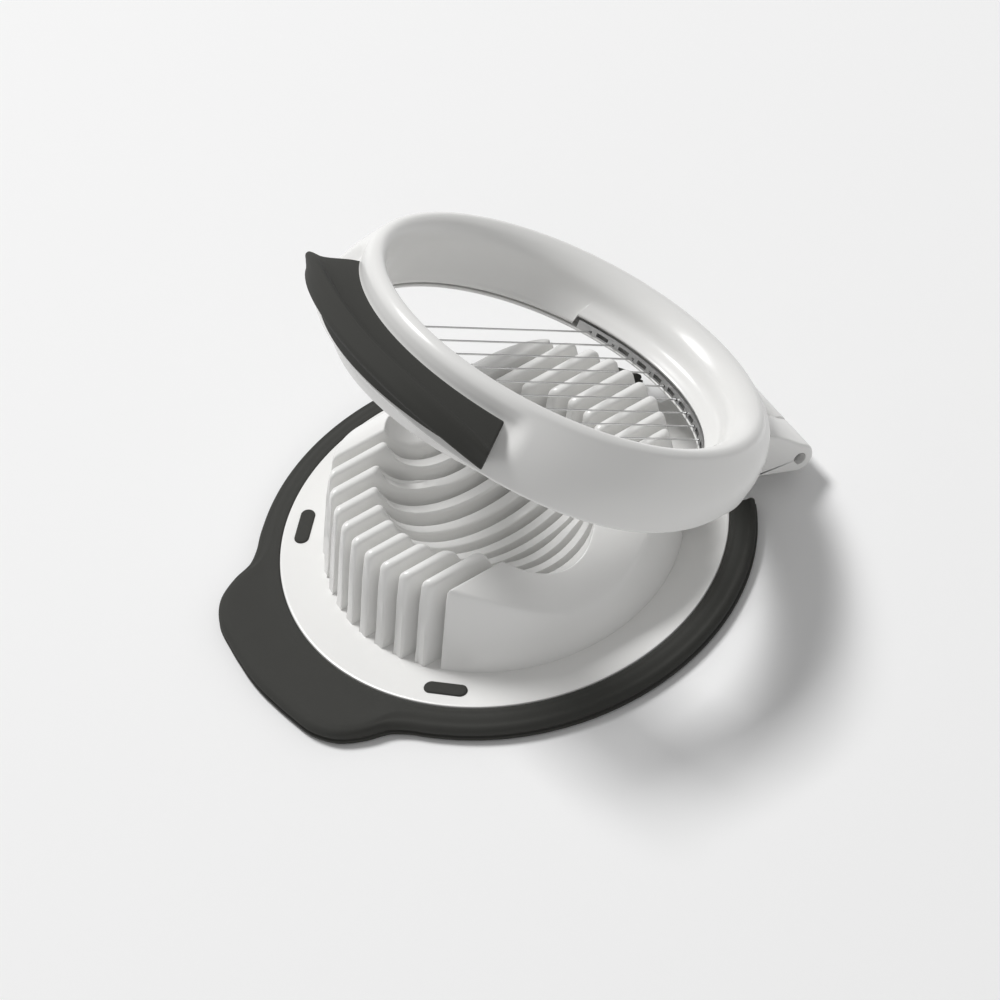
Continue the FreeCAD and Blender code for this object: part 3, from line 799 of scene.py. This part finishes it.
class EggSlicerFinishes(bpy.types.PropertyGroup):
    """The colours of the slicer's finishes."""

    plastic: bpy.props.FloatVectorProperty(
        name="Plastic", description="Colour of the glossy moulded plastic",
        subtype="COLOR", size=3, min=0, max=1, default=(0.80, 0.795, 0.78))
    rubber: bpy.props.FloatVectorProperty(
        name="Rubber", description="Colour of the soft rim, feet and grip",
        subtype="COLOR", size=3, min=0, max=1, default=(0.022, 0.021, 0.02))
    steel: bpy.props.FloatVectorProperty(
        name="Steel", description="Colour of the wires and pin",
        subtype="COLOR", size=3, min=0, max=1, default=(0.62, 0.61, 0.6))
    rail: bpy.props.FloatVectorProperty(
        name="Rails", description="Colour of the duller strips that hold the wires",
        subtype="COLOR", size=3, min=0, max=1, default=(0.27, 0.265, 0.26))


class EggSlicerStage(bpy.types.PropertyGroup):
    """The floor, lights and camera."""

    floor: bpy.props.FloatVectorProperty(
        name="Floor", description="Colour of the floor and backdrop",
        subtype="COLOR", size=3, min=0, max=1, default=(0.93, 0.93, 0.93))
    key_power: bpy.props.FloatProperty(
        name="Key light", description="Power of the large lamp on the left",
        subtype="POWER", unit="POWER", min=0, default=73.0)
    key_size: bpy.props.FloatProperty(
        name="Key size", description="Width of the key lamp's soft box",
        subtype="DISTANCE", unit="LENGTH", min=0.05, default=0.84)
    sky: bpy.props.FloatProperty(
        name="Surround", description="Strength of the even light from all round", min=0, default=0.32)
    camera_distance: bpy.props.FloatProperty(
        name="Camera distance", description="From the camera to the point it looks at",
        subtype="DISTANCE", unit="LENGTH", min=0.5, default=2.408)
    lens: bpy.props.FloatProperty(
        name="Lens", description="Focal length on a 36 mm sensor",
        subtype="DISTANCE_CAMERA", unit="CAMERA", min=10, default=392.7)


# ---- operators ----------------------------------------------------------------------------

class MakeBaseMoulding(bpy.types.Operator):
    """Build the white moulding of the base: plate, slatted egg cup and middle knuckle"""

    bl_idname = "egg_slicer.base_moulding"
    bl_label = "Base moulding"

    def execute(self, context):
        middle = (WIRE_COUNT - 2) / 2
        fins = [fin((index - middle) * WIRE_PITCH) for index in range(WIRE_COUNT - 1)]
        tongue = slab(tongue_outline, -BASE_KNUCKLE_HALF, BASE_KNUCKLE_HALF, 0.5)
        sheets = [flange(), tongue, cup_end(-1), cup_end(1)] + fins
        piece("base_moulding", sheets, "white_plastic", "base", "base_body")
        return {"FINISHED"}


class MakeBaseRim(bpy.types.Operator):
    """Build the soft ring with its front tab, under and round the base"""

    bl_idname = "egg_slicer.base_rim"
    bl_label = "Soft rim and tab"

    def execute(self, context):
        piece("base_rim", [base_rim()], "soft_grip", "base", "base_grip")
        return {"FINISHED"}


class MakeFeet(bpy.types.Operator):
    """Build the two oval feet that show through the base"""

    bl_idname = "egg_slicer.feet"
    bl_label = "Feet"

    def execute(self, context):
        for corner, bearing in {"front_left": -FOOT_BEARING, "front_right": FOOT_BEARING}.items():
            piece("foot_pad_" + corner, [foot_pad(bearing)], "soft_grip", "base", "foot_" + corner)
        return {"FINISHED"}


class MakeLidRing(bpy.types.Operator):
    """Build the glossy ring of the lid"""

    bl_idname = "egg_slicer.lid_ring"
    bl_label = "Lid ring"

    def execute(self, context):
        piece("lid_ring", [lid_ring()], "white_plastic", "lid", "lid_shell")
        return {"FINISHED"}


class MakeLidGrip(bpy.types.Operator):
    """Build the soft grip on the front of the lid"""

    bl_idname = "egg_slicer.lid_grip"
    bl_label = "Lid grip"

    def execute(self, context):
        made = piece("lid_grip_skin", [lid_grip_sheet()], "soft_grip", "lid", "lid_grip")
        soft = made.modifiers.new("soft_ends", "BEVEL")
        soft.width = 0.45 * MM
        soft.segments = 3
        soft.limit_method = "ANGLE"
        soft.angle_limit = math.radians(50)
        return {"FINISHED"}


class MakeWireFrame(bpy.types.Operator):
    """Build the ring that holds the wires, with its two hinge arms"""

    bl_idname = "egg_slicer.wire_frame"
    bl_label = "Wire frame and arms"

    def execute(self, context):
        sheets = [wire_ring(), hinge_arm(-1), hinge_arm(1)]
        piece("wire_frame_skin", sheets, "white_plastic", "lid", "wire_frame")
        return {"FINISHED"}


class FinishSteel(bpy.types.Operator):
    """Give the wires, their rails and the hinge pin their steel"""

    bl_idname = "egg_slicer.steel"
    bl_label = "Wires, rails and pin"

    def execute(self, context):
        paint(["wire_%02d" % (index + 1) for index in range(WIRE_COUNT)], "wire_steel")
        paint(["wire_rail_front", "wire_rail_rear"], "rail_steel")
        paint(["hinge_pin"], "pin_steel")
        return {"FINISHED"}


def aimed(azimuth, elevation):
    """The unit direction to a place seen from the origin, with azimuth turning from -Y to +X."""
    flat = math.cos(elevation)
    return np.array([math.sin(azimuth) * flat, -math.cos(azimuth) * flat, math.sin(elevation)])


def facing(position, target, roll=0.0):
    """The matrix of a camera or lamp at a place, aimed at another and turned about its own axis."""
    back = (position - target) / np.linalg.norm(position - target)
    right = np.cross((0, 0, 1), back)
    right /= np.linalg.norm(right)
    up = np.cross(back, right)
    cosine, sine = math.cos(roll), math.sin(roll)
    matrix = np.eye(4)
    matrix[:3, 0] = cosine * right + sine * up
    matrix[:3, 1] = cosine * up - sine * right
    matrix[:3, 2] = back
    matrix[:3, 3] = position
    return Matrix(matrix.tolist())


def add_soft_box(name, azimuth_deg, elevation_deg, distance, size, power):
    """A square area lamp aimed at the slicer."""
    lamp = bpy.data.lights.new(name, "AREA")
    lamp.size = size
    lamp.energy = power
    made = bpy.data.objects.new(name, lamp)
    target = np.array(LAMP_TARGET) * MM
    direction = aimed(math.radians(azimuth_deg), math.radians(elevation_deg))
    made.matrix_world = facing(target + direction * distance, target)
    bpy.context.scene.collection.objects.link(made)


class MakeStage(bpy.types.Operator):
    """Set the pale floor, the soft studio light and the camera"""

    bl_idname = "egg_slicer.stage"
    bl_label = "Stage"

    def execute(self, context):
        scene = context.scene
        stage = scene.egg_slicer_stage
        reach = np.array([-FLOOR_HALF, FLOOR_HALF])
        corners = place(reach[None, :], reach[:, None], 0)
        mesh = bpy.data.meshes.new("floor")
        points, faces = sheet(corners)
        mesh.from_pydata(points.tolist(), [], [face[::-1] for face in faces])
        mesh.materials.append(floor_paint(stage.floor))
        floor = bpy.data.objects.new("floor", mesh)
        scene.collection.objects.link(floor)

        add_soft_box("key", -81, 56, 3.2, stage.key_size, stage.key_power)
        add_soft_box("fill", 60, 35, 2.2, 1.6, FILL_SHARE * stage.key_power)

        world = bpy.data.worlds.new("surround")
        world.use_nodes = True
        sky = world.node_tree.nodes["Background"]
        sky.inputs["Color"].default_value = (1.0, 1.0, 1.0, 1.0)
        sky.inputs["Strength"].default_value = stage.sky
        scene.world = world
        scene.view_settings.view_transform = "Standard"

        lens = bpy.data.cameras.new("camera")
        lens.lens = stage.lens
        lens.sensor_width = SENSOR_WIDTH
        lens.clip_end = CAMERA_REACH
        camera = bpy.data.objects.new("camera", lens)
        target = np.array(CAMERA_TARGET) * MM
        direction = aimed(math.radians(CAMERA_AZIMUTH_DEG), math.radians(CAMERA_ELEVATION_DEG))
        position = target + direction * stage.camera_distance
        camera.matrix_world = facing(position, target, math.radians(CAMERA_ROLL_DEG))
        scene.collection.objects.link(camera)
        scene.camera = camera
        return {"FINISHED"}


class EggSlicerPanel(bpy.types.Panel):
    """Lists the slicer's settings and the steps that build it"""

    bl_idname = "VIEW3D_PT_egg_slicer"
    bl_label = "Egg Slicer"
    bl_space_type = "VIEW_3D"
    bl_region_type = "UI"
    bl_category = "Egg Slicer"

    def draw(self, context):
        for group in (context.scene.egg_slicer_finishes, context.scene.egg_slicer_stage):
            for name in group.__annotations__:
                self.layout.prop(group, name)
        for step in STEPS:
            self.layout.operator(step.bl_idname)


STEPS = (
    MakeBaseMoulding, MakeBaseRim, MakeFeet, MakeLidRing, MakeLidGrip, MakeWireFrame, FinishSteel,
    MakeStage,
)
CLASSES = (EggSlicerFinishes, EggSlicerStage) + STEPS + (EggSlicerPanel,)


def register():
    for each in CLASSES:
        bpy.utils.register_class(each)
    bpy.types.Scene.egg_slicer_finishes = bpy.props.PointerProperty(type=EggSlicerFinishes)
    bpy.types.Scene.egg_slicer_stage = bpy.props.PointerProperty(type=EggSlicerStage)


def unregister():
    del bpy.types.Scene.egg_slicer_stage
    del bpy.types.Scene.egg_slicer_finishes
    for each in reversed(CLASSES):
        bpy.utils.unregister_class(each)


def main():
    register()
    for step in STEPS:
        group, name = step.bl_idname.split(".")
        getattr(getattr(bpy.ops, group), name)()


if __name__ == "__main__":
    main()
